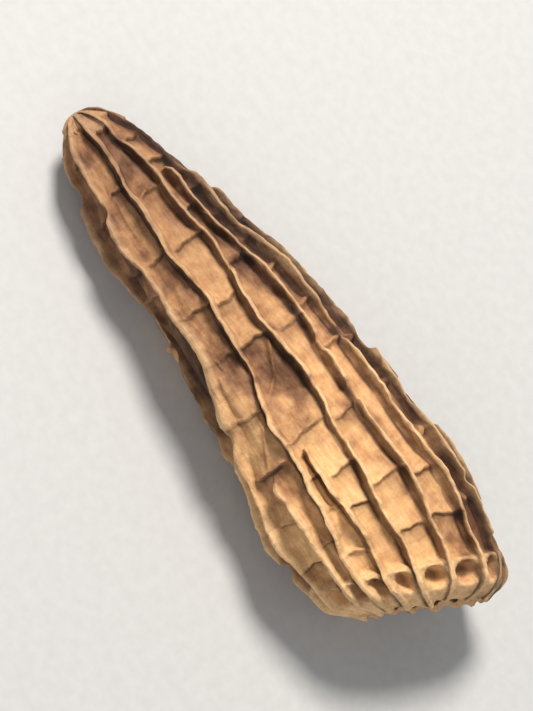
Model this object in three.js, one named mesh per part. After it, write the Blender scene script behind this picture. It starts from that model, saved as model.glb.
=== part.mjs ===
// A dried morel cap, hollow, with its stem cut off at the base. It lies on its side: +X runs from the
// tip to the cut base, +Z is up, the floor is z = 0 and the origin is under the middle. Millimetres.
// The skin is laid out flat by s, the distance along it from the tip, and turn, the angle round it.
// Long ridges and short cross walls stand up from that skin and leave pits between them.
import * as THREE from "three";

// Driving dimensions
const AXIS_LENGTH = 58.5;
const CAP_WIDTH = 20.4;
const CAP_THICKNESS = 15.8;
const RIDGE_HEIGHT = 1.35;
const WALL_SHARE = 0.62;
const CREST = 0.62;
const FLESH = 0.95;
const FOOT_RUN = 0.42;
const BOW = 1.2;
const BASE_SLANT = 0.52;
const FLAT_DEPTH = 0.62;
const TIP_TWIST = 22;
const FACE_TILT = 25;

// Half the width of the pit floors, as [share of the length, share of half the floor width]
const OUTLINE = [
  [0.018, 0], [0.025, 0.136], [0.05, 0.284], [0.087, 0.386], [0.142, 0.477], [0.233, 0.58],
  [0.333, 0.682], [0.45, 0.807], [0.583, 0.886], [0.69, 0.97], [0.79, 1], [0.86, 0.965],
  [0.915, 0.88], [0.955, 0.76], [0.978, 0.64], [0.985, 0.56],
];

// Ridges in turn round the cap, as [degrees from the middle of the broad face, distance from the tip
// at which it starts]. Every second one forks off a cross wall between two that run the whole length.
const RIDGES = [
  [-58, 0], [-37, 39.7], [-23, 0], [-9, 38.2], [11.5, 0], [31, 9], [54, 0], [75, 13], [96, 0],
  [117, 24], [137, 0], [157, 33], [178, 0], [198, 19], [218, 0], [239, 30], [259, 0], [281, 20],
];

// Bends in single ridges: the middle and reach of the bend along the cap, and how far it turns
const BENDS = [
  { ridge: 0, middle: 24, reach: 10, turn: 9 }, { ridge: 1, middle: 47, reach: 8, turn: 7 },
  { ridge: 2, middle: 43, reach: 7, turn: 10 }, { ridge: 3, middle: 46, reach: 8, turn: 5 },
  { ridge: 4, middle: 26.5, reach: 4, turn: -12 }, { ridge: 4, middle: 40, reach: 6, turn: 5 },
  { ridge: 5, middle: 43, reach: 9, turn: 8 }, { ridge: 6, middle: 43, reach: 9, turn: 4 },
];

// Cross walls between the whole ridges, by distance from the tip: before the fork, then on its two sides
const FACE_WALLS = [
  [[9.8, 17.2, 23.5, 28.4, 34.2], [46, 52], [50]],
  [[11.4, 17.4, 24, 28.6], [42.5, 46.2, 51.9], [43.1, 47]],
  [[5.8], [14.8, 21.3, 29.1, 38.7, 45.7, 50.8], [13.2, 16.6, 20.2, 23.8, 28.2, 32.8, 46.5, 50.4]],
];
const SHORT_CELL = 2.6;
const LONG_CELL = 6.4;
const FIRST_PIT = 2.7;
const RIM_WALL = 54.9;
const LAST_PIT = 58.4;

// Lengthwise folds from drying: where round the cap, where along it, their reach and depth
const FOLDS = [
  { turn: -74, middle: 31, reach: 13, spread: 15, depth: 1.15 },
  { turn: 2, middle: 32.5, reach: 6, spread: 11, depth: 0.55 },
  { turn: 62, middle: 20, reach: 12, spread: 18, depth: 0.6 },
  { turn: 124, middle: 38, reach: 15, spread: 16, depth: 1.2 },
  { turn: 252, middle: 46, reach: 10, spread: 14, depth: 0.8 },
];

const rad = THREE.MathUtils.degToRad;
const smooth = THREE.MathUtils.smoothstep;
const mix = THREE.MathUtils.lerp;
const FULL_TURN = 2 * Math.PI;
const FLOOR_HALF_WIDTH = CAP_WIDTH / 2 - RIDGE_HEIGHT;
const FLATNESS = (CAP_THICKNESS / 2 - RIDGE_HEIGHT) / FLOOR_HALF_WIDTH;

// A small seeded generator, so that each build is the same
function makeRandom(seed) {
  let state = seed;
  return (low, high) => {
    state = (state * 16807) % 2147483647;
    return low + ((high - low) * state) / 2147483647;
  };
}

const outline = new THREE.SplineCurve(
  OUTLINE.map(([along, out]) => new THREE.Vector2(along * AXIS_LENGTH, out * FLOOR_HALF_WIDTH)),
);
outline.arcLengthDivisions = 400;
const SKIN_LENGTH = outline.getLength();

function profile(s) {
  return outline.getPointAt(THREE.MathUtils.clamp(s / SKIN_LENGTH, 0, 1));
}

// How high the ridges stand at s: low at the tip, and nearly gone at the cut
function ridgeHeight(s) {
  return RIDGE_HEIGHT * mix(0.55, 1, smooth(s, 0.5, 9)) * mix(1, 0.35, smooth(s, 56.2, 59.2));
}

// A rounded box section, broader than it is thick
const BOXINESS = 2.35;
function section(turn) {
  const across = Math.sin(turn);
  const up = Math.cos(turn);
  const reach = (Math.abs(across) ** BOXINESS + Math.abs(up) ** BOXINESS) ** (-1 / BOXINESS);
  return [across * reach, up * reach * FLATNESS];
}

function foldDepth(s, turn) {
  let depth = 0;
  for (const fold of FOLDS) {
    const away = Math.atan2(Math.sin(turn - rad(fold.turn)), Math.cos(turn - rad(fold.turn)));
    const along = (s - fold.middle) / fold.reach;
    depth += fold.depth * Math.exp(-((away / rad(fold.spread)) ** 2) - along ** 4);
  }
  return depth;
}

// The height of the middle line, so that the cap lies on the floor along its fuller part
const FIRST_CONTACT = 15;
const LAST_CONTACT = 52;
function middleHeight(s) {
  let sum = 0;
  for (const shift of [-3, 0, 3]) {
    const at = THREE.MathUtils.clamp(s + shift, FIRST_CONTACT, LAST_CONTACT);
    sum += FLATNESS * profile(at).y + ridgeHeight(at);
  }
  return sum / 3;
}

// The smooth shape under the folds and ridges, drawn in by `depth`. The base is cut at a slant.
function plainPoint(s, turn, depth = 0) {
  const { x: along, y: radius } = profile(s);
  const bow = BOW * Math.sin((Math.PI * along) / AXIS_LENGTH);
  const reach = Math.max(radius - depth, 0);
  const [across, up] = section(turn - rad(FACE_TILT));
  const slant = BASE_SLANT * smooth(s, 38, 58) * across * reach;
  return new THREE.Vector3(along + slant, bow + across * reach, middleHeight(s) + up * reach);
}

function skinPoint(s, turn) {
  return plainPoint(s, turn, Math.min(foldDepth(s, turn), profile(s).y * 0.3));
}

const STEP_S = 0.2;
const STEP_TURN = 0.03;
function outward(s, turn) {
  const along = plainPoint(s + STEP_S, turn).sub(plainPoint(s - STEP_S, turn));
  const round = plainPoint(s, turn + STEP_TURN).sub(plainPoint(s, turn - STEP_TURN));
  return along.cross(round).normalize();
}

function point(s, turn, lift) {
  return skinPoint(s, turn).addScaledVector(outward(s, turn), lift);
}

// Millimetres round the crests for a radian of turn
function girth(s, turn) {
  const height = ridgeHeight(s);
  const width = point(s, turn + STEP_TURN, height).distanceTo(point(s, turn - STEP_TURN, height));
  return width / (2 * STEP_TURN);
}

const sways = RIDGES.map((_, k) => {
  const random = makeRandom(1711 + 97 * k);
  return [random(0, FULL_TURN), random(0, FULL_TURN), random(0.2, 0.42), random(0.08, 0.16)];
});

// The height of ridge k, which rises and dips a little along it
const DIP = 0.13;
const DIP_LENGTH = 11;
function crestHeight(k, s) {
  const phase = 2 * sways[k % RIDGES.length][0];
  return ridgeHeight(s) * (1 + DIP * Math.sin((FULL_TURN * s) / DIP_LENGTH + phase));
}

function bendTurn(ridge, s) {
  const own = BENDS.filter((bend) => bend.ridge === ridge);
  const shares = own.map(({ middle, reach, turn }) => turn * Math.exp(-(((s - middle) / reach) ** 2)));
  return shares.reduce((sum, share) => sum + share, 0);
}

// Where ridge k runs: a slight twist towards the tip, a sway of its own and its bends. Ridge 18 is ridge 0
// again.
const LONG_SWAY = 24;
const SHORT_SWAY = 8.5;
function ridgeTurn(k, s) {
  const [phaseA, phaseB, long, short] = sways[k % RIDGES.length];
  const sway = long * Math.sin((FULL_TURN * s) / LONG_SWAY + phaseA)
    + short * Math.sin((FULL_TURN * s) / SHORT_SWAY + phaseB);
  const ridge = k % RIDGES.length;
  const base = rad(RIDGES[ridge][0] + bendTurn(ridge, s)) + FULL_TURN * Math.floor(k / RIDGES.length);
  return base + rad(TIP_TWIST) * (1 - smooth(s, 19, 44)) + sway / Math.max(profile(s).y, 4);
}

// Random cross walls from one distance to another
function drawWalls(random, from, to) {
  const walls = [];
  const cell = () => random(SHORT_CELL, LONG_CELL);
  for (let s = from + cell(); s < to - SHORT_CELL; s += cell()) walls.push(s);
  return walls;
}

// Every pit, as the two ridges beside it and the cross walls at its two ends
const SLANT = 0.5;
function listPits() {
  const pits = [];
  const fill = (random, left, right, at) => {
    const walls = at.map((s) => ({ s, slant: random(-SLANT, SLANT) }));
    for (let i = 0; i + 1 < walls.length; i++) pits.push({ left, right, from: walls[i], to: walls[i + 1] });
  };
  for (let sector = 0; sector * 2 < RIDGES.length; sector++) {
    const random = makeRandom(40 + 13 * sector);
    const [left, middle, right] = [2 * sector, 2 * sector + 1, 2 * sector + 2];
    const start = FIRST_PIT + (sector % 2) * 1.3;
    const fork = RIDGES[middle][1];
    const ends = [[start, fork], [fork, RIM_WALL], [fork, RIM_WALL]];
    const drawn = ends.map(([a, b]) => drawWalls(random, a, b));
    const [above, onLeft, onRight] = FACE_WALLS[sector] ?? drawn;
    fill(random, left, right, [start, ...above, fork]);
    fill(random, left, middle, [fork, ...onLeft, RIM_WALL + random(-0.6, 0.4), LAST_PIT]);
    fill(random, middle, right, [fork, ...onRight, RIM_WALL + random(-0.6, 0.4), LAST_PIT]);
  }
  return pits;
}

// Shared lists of points: `vertices` in space, `flat` in the unrolled skin
const vertices = [];
const faces = [];
const flat = [];
const FLAT_RADIUS = 8;
function addVertex(s, turn, lift) {
  flat.push(new THREE.Vector2(s, turn * FLAT_RADIUS));
  return vertices.push(point(s, turn, lift)) - 1;
}

function addQuad(a, b, c, d) {
  const cutAC = vertices[a].distanceTo(vertices[c]) < vertices[b].distanceTo(vertices[d]);
  faces.push(...(cutAC ? [[a, b, c], [a, c, d]] : [[a, b, d], [b, c, d]]));
}

// The rows of a pit, as shares of its length
const ROW_LENGTH = 2.1;
function pitRows(length) {
  const foot = Math.min(FOOT_RUN / length, 0.3);
  const steps = Math.max(1, Math.round(length / ROW_LENGTH));
  const rows = [0];
  for (let i = 0; i <= steps; i++) rows.push(mix(foot, 1 - foot, i / steps));
  return [...rows, 1];
}

// One pit: a grid whose rim is level with the ridges and walls, and whose inside is the sunken floor.
// Returns its rim as a loop of vertex numbers.
const ROUNDING = [0.15, 0.4];
const FLOOR_UNEVEN = 0.1;
function addPit({ left, right, from, to }, random) {
  const start = from.s + CREST / 2;
  const end = to.s - CREST / 2;
  const rounding = [random(...ROUNDING), random(...ROUNDING)];
  const wallShare = WALL_SHARE * random(0.85, 1.15);
  const grid = pitRows(end - start).map((v) => {
    const level = mix(start, end, v);
    const low = ridgeTurn(left, level) + CREST / 2 / girth(level, ridgeTurn(left, level));
    const high = ridgeTurn(right, level) - CREST / 2 / girth(level, ridgeTurn(right, level));
    const run = Math.min(FOOT_RUN / ((high - low) * girth(level, (low + high) / 2)), 0.3);
    return [0, run, 1 - run, 1].map((u) => {
      const corner = (2 * u - 1) ** 2;
      const s = level + (1 - v) * (from.slant * (u - 0.5) + rounding[0] * corner)
        + v * (to.slant * (u - 0.5) - rounding[1] * corner);
      const crest = mix(crestHeight(left, s), crestHeight(right, s), u);
      const onRidge = u === 0 || u === 1;
      const onWall = v === 0 || v === 1;
      const floor = random(-FLOOR_UNEVEN, FLOOR_UNEVEN) * Math.min(1, crest);
      return addVertex(s, mix(low, high, u), onRidge ? crest : onWall ? crest * wallShare : floor);
    });
  });
  for (let row = 0; row + 1 < grid.length; row++) {
    const [now, next] = [grid[row], grid[row + 1]];
    for (let i = 0; i < 3; i++) addQuad(now[i], next[i], next[i + 1], now[i + 1]);
  }
  const inner = grid.slice(1, -1);
  const [lows, highs] = [inner.map((row) => row[0]), inner.map((row) => row[3])];
  return [...grid[0], ...highs, ...grid.at(-1).toReversed(), ...lows.toReversed()];
}

// Turns the shared edge of two neighbouring triangles wherever that makes both less thin
function turnEdges(points, triangles) {
  const key = (a, b) => a * points.length + b;
  const owners = new Map();
  const claim = (t) => triangles[t].forEach((a, i) => owners.set(key(a, triangles[t][(i + 1) % 3]), t));
  triangles.forEach((_, t) => claim(t));
  const angleAt = (c, a, b) => {
    const [toA, toB] = [points[a].clone().sub(points[c]), points[b].clone().sub(points[c])];
    return Math.atan2(Math.abs(toA.cross(toB)), toA.dot(toB));
  };
  const waiting = [...owners.keys()];
  while (waiting.length) {
    const edge = waiting.pop();
    const [a, b] = [Math.floor(edge / points.length), edge % points.length];
    const [near, far] = [owners.get(key(a, b)), owners.get(key(b, a))];
    if (near === undefined || far === undefined) continue;
    const c = triangles[near].find((v) => v !== a && v !== b);
    const d = triangles[far].find((v) => v !== a && v !== b);
    if (angleAt(c, a, b) + angleAt(d, a, b) < Math.PI + 1e-6) continue;
    owners.delete(key(a, b));
    owners.delete(key(b, a));
    triangles[near] = [a, d, c];
    triangles[far] = [d, b, c];
    claim(near);
    claim(far);
    waiting.push(key(b, c), key(c, a), key(a, d), key(d, b));
  }
}

// The crests of all the ridges and walls: the unrolled skin, less the pits. Its long sides are both the
// middle of ridge 0, at the two ends of the turn. Returns the rings of vertices at the tip and the base.
const SEAM_STEP = 2.4;
const TIP_S = 1.1;
const BASE_S = 59;
const TIP_SIDES = 9;
const BASE_SIDES = 36;
const DIP_IN = 0.1;
function addCrests(rims) {
  const seam = [];
  const seamSteps = Math.round((BASE_S - TIP_S) / SEAM_STEP);
  for (let i = 0; i <= seamSteps; i++) {
    const s = mix(TIP_S, BASE_S, i / seamSteps);
    seam.push(addVertex(s, ridgeTurn(0, s), crestHeight(0, s)));
  }
  const ring = (s, sides) => {
    const made = [];
    for (let i = 1; i < sides; i++) {
      const turn = ridgeTurn(0, s) + (FULL_TURN * i) / sides;
      made.push(addVertex(s, turn, ridgeHeight(s)));
    }
    return made;
  };
  const tip = ring(TIP_S, TIP_SIDES);
  const base = ring(BASE_S, BASE_SIDES);
  const hollowed = (list, depth) => list.map((v, i) => {
    const share = (i + 1) / (list.length + 1);
    return flat[v].clone().setX(flat[v].x + depth * Math.sin(Math.PI * share));
  });
  const nextTurn = seam.map((v) => new THREE.Vector2(flat[v].x, flat[v].y + FULL_TURN * FLAT_RADIUS));
  const contour = [...seam, ...base, ...seam.toReversed(), ...tip.toReversed()];
  const [baseFlat, tipFlat] = [hollowed(base, -DIP_IN), hollowed(tip, DIP_IN)];
  const contourFlat = [
    ...seam.map((v) => flat[v]), ...baseFlat, ...nextTurn.toReversed(), ...tipFlat.toReversed(),
  ];
  const numbers = [contour, ...rims].flat();
  const holes = rims.map((rim) => rim.map((v) => flat[v]));
  const triangles = THREE.ShapeUtils.triangulateShape(contourFlat, holes);
  turnEdges([contourFlat, ...holes].flat(), triangles);
  for (const [a, b, c] of triangles) faces.push([numbers[a], numbers[b], numbers[c]]);
  return { tip: [seam[0], ...tip], base: [seam.at(-1), ...base] };
}

// Closes a ring with a fan of triangles to one point
function addFan(ring, apex, outwards) {
  const centre = vertices.push(apex) - 1;
  ring.forEach((v, i) => {
    const next = ring[(i + 1) % ring.length];
    faces.push(outwards ? [centre, v, next] : [centre, next, v]);
  });
}

function ringMiddle(ring) {
  const sum = ring.reduce((total, v) => total.add(vertices[v]), new THREE.Vector3());
  return sum.divideScalar(ring.length);
}

// The cut edge at the base, torn a little, and the hollow from there up to the tip
const HOLLOW_TIP = 8;
const HOLLOW_ROWS = 8;
const TORN = 0.35;
function addHollow(rim) {
  const random = makeRandom(505);
  const turns = rim.map((v) => flat[v].y / FLAT_RADIUS);
  const torn = turns.map(() => random(-TORN, TORN));
  let last = rim;
  const join = (s, lift, shifts) => {
    const next = turns.map((turn, i) => {
      const p = point(s, turn, lift);
      p.x += shifts ? shifts[i] : 0;
      return vertices.push(p) - 1;
    });
    last.forEach((v, i) => {
      const j = (i + 1) % last.length;
      addQuad(v, next[i], next[j], last[j]);
    });
    last = next;
  };
  join(SKIN_LENGTH - 0.25, 0.1, torn);
  join(SKIN_LENGTH - 0.25, -FLESH, torn);
  for (let row = 0; row <= HOLLOW_ROWS; row++) {
    join(mix(SKIN_LENGTH - 2, HOLLOW_TIP, row / HOLLOW_ROWS), -FLESH);
  }
  const apex = ringMiddle(last);
  apex.x -= 0.8;
  addFan(last, apex, false);
}

// Brings the cap over the origin, lets it down to the floor and presses its lowest crests flat
function settle() {
  const box = new THREE.Box3().setFromPoints(vertices);
  const middle = box.getCenter(new THREE.Vector3());
  middle.z = box.min.z + FLAT_DEPTH;
  for (const p of vertices) {
    p.sub(middle);
    p.z = Math.max(p.z, 0);
  }
}

function capGeometry() {
  const random = makeRandom(2029);
  const rims = listPits().map((pit) => addPit(pit, random));
  const ends = addCrests(rims);
  const apex = ringMiddle(ends.tip);
  apex.x -= 0.5;
  addFan(ends.tip, apex, true);
  addHollow(ends.base);
  settle();
  const geometry = new THREE.BufferGeometry().setFromPoints(vertices);
  geometry.setIndex(faces.flat());
  geometry.computeVertexNormals();
  return geometry;
}

const dried = new THREE.MeshStandardMaterial({ color: 0xb98f66, roughness: 0.9, metalness: 0 });
const cap = new THREE.Mesh(capGeometry(), dried);
cap.name = "morel_cap";

const morel = new THREE.Group();
morel.add(cap);
export default morel;
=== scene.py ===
"""A dried morel cap lying on its side, in metres. The same named values as in the solid's source shape
its skin, ribs and cross walls; here they are finer, with ragged crests, creases and fibres. The skin is
laid out flat by s, the distance along it from the tip in millimetres, and turn, the angle round it."""
import math

import bpy
import numpy as np
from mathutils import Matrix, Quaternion, Vector


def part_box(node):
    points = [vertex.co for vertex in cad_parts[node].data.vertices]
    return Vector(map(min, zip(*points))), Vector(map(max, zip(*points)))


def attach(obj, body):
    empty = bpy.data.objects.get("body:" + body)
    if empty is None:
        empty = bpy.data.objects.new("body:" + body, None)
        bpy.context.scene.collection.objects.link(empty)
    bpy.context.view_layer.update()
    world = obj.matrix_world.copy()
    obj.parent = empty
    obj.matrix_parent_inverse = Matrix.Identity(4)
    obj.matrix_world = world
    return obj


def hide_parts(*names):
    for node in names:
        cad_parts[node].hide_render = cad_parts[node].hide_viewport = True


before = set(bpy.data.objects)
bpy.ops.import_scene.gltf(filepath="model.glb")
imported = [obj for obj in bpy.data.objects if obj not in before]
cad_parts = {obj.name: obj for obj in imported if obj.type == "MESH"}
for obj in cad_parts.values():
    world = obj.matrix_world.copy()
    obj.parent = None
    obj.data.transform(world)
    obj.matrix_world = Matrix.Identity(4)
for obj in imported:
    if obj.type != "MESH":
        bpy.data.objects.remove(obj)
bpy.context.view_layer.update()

# The solid's driving values, in millimetres and degrees
AXIS_LENGTH = 58.5
CAP_WIDTH = 20.4
CAP_THICKNESS = 15.8
RIDGE_HEIGHT = 1.35
FLESH = 0.95
RIM_FLESH = 0.62
BOW = 1.2
BASE_SLANT = 0.52
TIP_TWIST = 22
FACE_TILT = 25
BOXINESS = 2.35
# Where the solid's own middle and floor lie before it is set on the origin
MIDDLE = np.array([30.43996, 0.60835, 0.41014])

# Half the width of the pit floors: share of the length, share of half the floor width
OUTLINE = [
    (0.018, 0), (0.025, 0.136), (0.05, 0.284), (0.087, 0.386), (0.142, 0.477), (0.233, 0.58),
    (0.333, 0.682), (0.45, 0.807), (0.583, 0.886), (0.69, 0.97), (0.79, 1), (0.86, 0.965),
    (0.915, 0.88), (0.955, 0.76), (0.978, 0.64), (0.985, 0.56),
]
# Ridges in turn round the cap: degrees from the middle of the broad face, and the distance from the tip
# at which each starts. Every second one forks off between two that run the whole length.
RIDGES = [
    (-58, 0), (-37, 39.7), (-23, 0), (-9, 38.2), (11.5, 0), (31, 9), (54, 0), (75, 13), (96, 0),
    (117, 24), (137, 0), (157, 33), (178, 0), (198, 19), (218, 0), (239, 30), (259, 0), (281, 20),
]
# Bends in single ridges: ridge, middle, reach, turn
BENDS = [
    (0, 24, 10, 9), (1, 47, 8, 7), (2, 43, 7, 10), (3, 46, 8, 5), (4, 26.5, 4, -12), (4, 40, 6, 5),
    (5, 43, 9, 8), (6, 43, 9, 4),
]
# Cross walls of the broad face, by distance from the tip: before each fork, then on its two sides
FACE_WALLS = [
    ([9.8, 17.2, 23.5, 28.4, 34.2], [46, 52], [50]),
    ([11.4, 17.4, 24, 28.6], [42.5, 46.2, 51.9], [43.1, 47]),
    ([5.8], [14.8, 21.3, 29.1, 38.7, 45.7, 50.8], [13.2, 16.6, 20.2, 23.8, 28.2, 32.8, 46.5, 50.4]),
]
SHORT_CELL = 2.6
LONG_CELL = 6.4
FIRST_PIT = 2.7
PIT_STAGGER = 1.3
RIM_WALL = 54.9
RIM_SPREAD = (-0.6, 0.4)
LAST_PIT = 58.4
SLANT = 0.5
# Folds: turn, middle, reach, spread, depth
FOLDS = [
    (-74, 31, 13, 15, 1.15), (2, 32.5, 6, 11, 0.55), (62, 20, 12, 18, 0.6),
    (124, 38, 15, 16, 1.2), (252, 46, 10, 14, 0.8),
]
FLOOR_HALF = CAP_WIDTH / 2 - RIDGE_HEIGHT
FLATNESS = (CAP_THICKNESS / 2 - RIDGE_HEIGHT) / FLOOR_HALF
TURN = 2 * math.pi


def make_random(seed):
    """The solid's own small generator, so that the same walls are drawn"""
    state = seed

    def draw(low, high):
        nonlocal state
        state = (state * 16807) % 2147483647
        return low + ((high - low) * state) / 2147483647

    return draw


def smooth(x, low, high):
    t = np.clip((x - low) / (high - low), 0, 1)
    return t * t * (3 - 2 * t)


def mix(a, b, t):
    return a + (b - a) * t


def catmull_rom(t):
    """The outline's curve at t from 0 to 1, as distances along and out"""
    knots = np.array(OUTLINE) * (AXIS_LENGTH, FLOOR_HALF)
    last = len(knots) - 1
    at = t * last
    i = np.minimum(np.floor(at).astype(int), last)
    w = (at - i)[:, None]
    p0, p1 = knots[np.maximum(i - 1, 0)], knots[i]
    p2, p3 = knots[np.minimum(i + 1, last)], knots[np.minimum(i + 2, last)]
    v0, v1 = (p2 - p0) / 2, (p3 - p1) / 2
    return (2 * p1 - 2 * p2 + v0 + v1) * w**3 + (3 * p2 - 3 * p1 - 2 * v0 - v1) * w**2 + v0 * w + p1


T_STEPS = np.linspace(0, 1, 401)
T_POINTS = catmull_rom(T_STEPS)
T_LENGTHS = np.concatenate([[0], np.cumsum(np.linalg.norm(np.diff(T_POINTS, axis=0), axis=1))])
SKIN_LENGTH = T_LENGTHS[-1]


def profile(s):
    s = np.asarray(s, float)
    t = np.interp(np.clip(s, 0, SKIN_LENGTH), T_LENGTHS, T_STEPS)
    p = catmull_rom(t.ravel())
    return p[:, 0].reshape(s.shape), p[:, 1].reshape(s.shape)


# The ridges' height at the tip and at the cut, as a share of the full one, and where it changes
TIP_SHARE = 0.55
TIP_RISE = (0.5, 9)
CUT_SHARE = 0.35
CUT_FALL = (56.2, 59.2)


def ridge_height(s):
    near_tip = mix(TIP_SHARE, 1, smooth(s, *TIP_RISE))
    return RIDGE_HEIGHT * near_tip * mix(1, CUT_SHARE, smooth(s, *CUT_FALL))


def section(turn):
    across, up = np.sin(turn), np.cos(turn)
    reach = (np.abs(across) ** BOXINESS + np.abs(up) ** BOXINESS) ** (-1 / BOXINESS)
    return across * reach, up * reach * FLATNESS


def fold_depth(s, turn):
    depth = 0
    for fold_turn, middle, reach, spread, deep in FOLDS:
        away = turn - math.radians(fold_turn)
        away = np.arctan2(np.sin(away), np.cos(away))
        depth = depth + deep * np.exp(-((away / math.radians(spread)) ** 2) - ((s - middle) / reach) ** 4)
    return depth


FIRST_CONTACT = 15
LAST_CONTACT = 52


def middle_height(s):
    """The height of the middle line, so that the cap lies on the floor along its fuller part"""
    total = 0
    for shift in (-3, 0, 3):
        at = np.clip(s + shift, FIRST_CONTACT, LAST_CONTACT)
        total = total + FLATNESS * profile(at)[1] + ridge_height(at)
    return total / 3


# The stretch over which the base's slant grows, and a fold's greatest depth as a share of the radius
SLANT_GROWS = (38, 58)
DEEPEST_FOLD = 0.3


def plain_point(s, turn, depth=0):
    """The smooth shape under the folds and ridges, drawn in by depth"""
    along, radius = profile(s)
    bow = BOW * np.sin(math.pi * along / AXIS_LENGTH)
    reach = np.maximum(radius - depth, 0)
    across, up = section(turn - math.radians(FACE_TILT))
    slant = BASE_SLANT * smooth(s, *SLANT_GROWS) * across * reach
    return np.stack([along + slant, bow + across * reach, middle_height(s) + up * reach], axis=-1)


def skin_point(s, turn):
    return plain_point(s, turn, np.minimum(fold_depth(s, turn), profile(s)[1] * DEEPEST_FOLD))


STEP_S = 0.2
STEP_TURN = 0.03


def outward(s, turn):
    along = plain_point(s + STEP_S, turn) - plain_point(s - STEP_S, turn)
    around = plain_point(s, turn + STEP_TURN) - plain_point(s, turn - STEP_TURN)
    normal = np.cross(along, around)
    return normal / np.linalg.norm(normal, axis=-1, keepdims=True)


def point(s, turn, lift):
    return skin_point(s, turn) + outward(s, turn) * np.asarray(lift)[..., None]


def girth(s, turn):
    """Millimetres round the crests for a radian of turn"""
    height = ridge_height(s)
    across = point(s, turn + STEP_TURN, height) - point(s, turn - STEP_TURN, height)
    return np.linalg.norm(across, axis=-1) / (2 * STEP_TURN)


# The lengths of a ridge's two sways, and the size and length of its crest's two fine wavers
LONG_SWAY = 24
SHORT_SWAY = 8.5
WAVER = 0.05
WAVER_LENGTH = 3.7
FINE_WAVER = 0.018
FINE_WAVER_LENGTH = 1.3
TWIST_ENDS = (19, 44)
LEAST_RADIUS = 4


def ridge_sway(k):
    """The solid's four draws for ridge k, and two more for the fine waver of its crest"""
    draw = make_random(1711 + 97 * k)
    return draw(0, TURN), draw(0, TURN), draw(0.2, 0.42), draw(0.08, 0.16), draw(0, TURN), draw(0, TURN)


SWAYS = [ridge_sway(k) for k in range(len(RIDGES))]


def bend_turn(ridge, s):
    return sum(turn * np.exp(-(((s - middle) / reach) ** 2))
               for owner, middle, reach, turn in BENDS if owner == ridge)


def ridge_turn(k, s):
    """Where ridge k runs: a slight twist towards the tip, a sway of its own and its bends. The ridge after
    the last one is the first again."""
    ridge = k % len(RIDGES)
    phase_a, phase_b, long_sway, short_sway, phase_c, phase_d = SWAYS[ridge]
    sway = long_sway * np.sin(TURN * s / LONG_SWAY + phase_a)
    sway = sway + short_sway * np.sin(TURN * s / SHORT_SWAY + phase_b)
    sway = sway + WAVER * np.sin(TURN * s / WAVER_LENGTH + phase_c)
    sway = sway + FINE_WAVER * np.sin(TURN * s / FINE_WAVER_LENGTH + phase_d)
    base = np.radians(RIDGES[ridge][0] + bend_turn(ridge, s)) + TURN * (k // len(RIDGES))
    twist = math.radians(TIP_TWIST) * (1 - smooth(s, *TWIST_ENDS))
    return base + twist + sway / np.maximum(profile(s)[1], LEAST_RADIUS)


def draw_walls(draw, start, end):
    walls = []
    s = start + draw(SHORT_CELL, LONG_CELL)
    while s < end - SHORT_CELL:
        walls.append(s)
        s += draw(SHORT_CELL, LONG_CELL)
    return walls


def wall_kind(s, number):
    """A pit's first wall, one just before the rim's cells, the last one at the cut, or a plain one"""
    if s is None:
        return "rim"
    if s == LAST_PIT:
        return "last"
    return "first" if number == 0 else "plain"


def list_walls():
    """Every cross wall, as its two ridges, its place and its slant, drawn as the solid draws them"""
    walls = []
    for sector in range(len(RIDGES) // 2):
        draw = make_random(40 + 13 * sector)
        left, middle, right = 2 * sector, 2 * sector + 1, 2 * sector + 2
        start = FIRST_PIT + (sector % 2) * PIT_STAGGER
        fork = RIDGES[middle][1]
        drawn = [draw_walls(draw, *ends) for ends in ((start, fork), (fork, RIM_WALL), (fork, RIM_WALL))]
        on_face = sector < len(FACE_WALLS)
        above, on_left, on_right = FACE_WALLS[sector] if on_face else drawn
        for low, high, places in (
            (left, right, [start, *above, fork]),
            (left, middle, [fork, *on_left, None, LAST_PIT]),
            (middle, right, [fork, *on_right, None, LAST_PIT]),
        ):
            whole = high == right and low == left
            for i, s in enumerate(places):
                kind = wall_kind(s, i)
                s = RIM_WALL + draw(*RIM_SPREAD) if s is None else s
                slant = draw(-SLANT, SLANT)
                if kind != "first" or whole:
                    place = {"left": low, "right": high, "s": s, "slant": slant}
                    walls.append({**place, "kind": kind, "face": on_face, **wall_form(len(walls))})
    return walls


# How cross walls are weathered, each drawn between two values: the heights of their two ends, the sag
# between, the length of a step's ramp, the slit under it and where it ends, and how blade-like they are
WALL_FORM = {
    "left_top": (0.3, 0.62), "right_top": (0.3, 0.62), "sag": (0, 0.25), "ramp": (0.5, 1.9),
    "slit": (0.7, 1), "slit_from": (-0.1, 0.2), "slit_to": (0.8, 1.1), "blade": (0, 1),
}


def wall_form(number):
    draw = make_random(900 + 31 * number)
    return {name: draw(*ends) for name, ends in WALL_FORM.items()}


NOISE_TABLE = (97, 89)


def lattice_noise(x, y, seed):
    """Smooth noise from -1 to 1 on a plane, one bump to a unit"""
    table = np.random.default_rng(seed).uniform(-1, 1, NOISE_TABLE)
    rows, columns = NOISE_TABLE
    ix, iy = np.floor(x).astype(int), np.floor(y).astype(int)
    fx, fy = x - ix, y - iy
    fx, fy = fx * fx * (3 - 2 * fx), fy * fy * (3 - 2 * fy)

    def at(i, j):
        return table[i % rows, j % columns]

    low = mix(at(ix, iy), at(ix + 1, iy), fx)
    high = mix(at(ix, iy + 1), at(ix + 1, iy + 1), fx)
    return mix(low, high, fy)


# The fine grid: columns follow the ridges, and rows slide to meet each cross wall
ROWS = 300
FIRST_ROW = 0.45
CUT_AT = SKIN_LENGTH - 0.25
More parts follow.
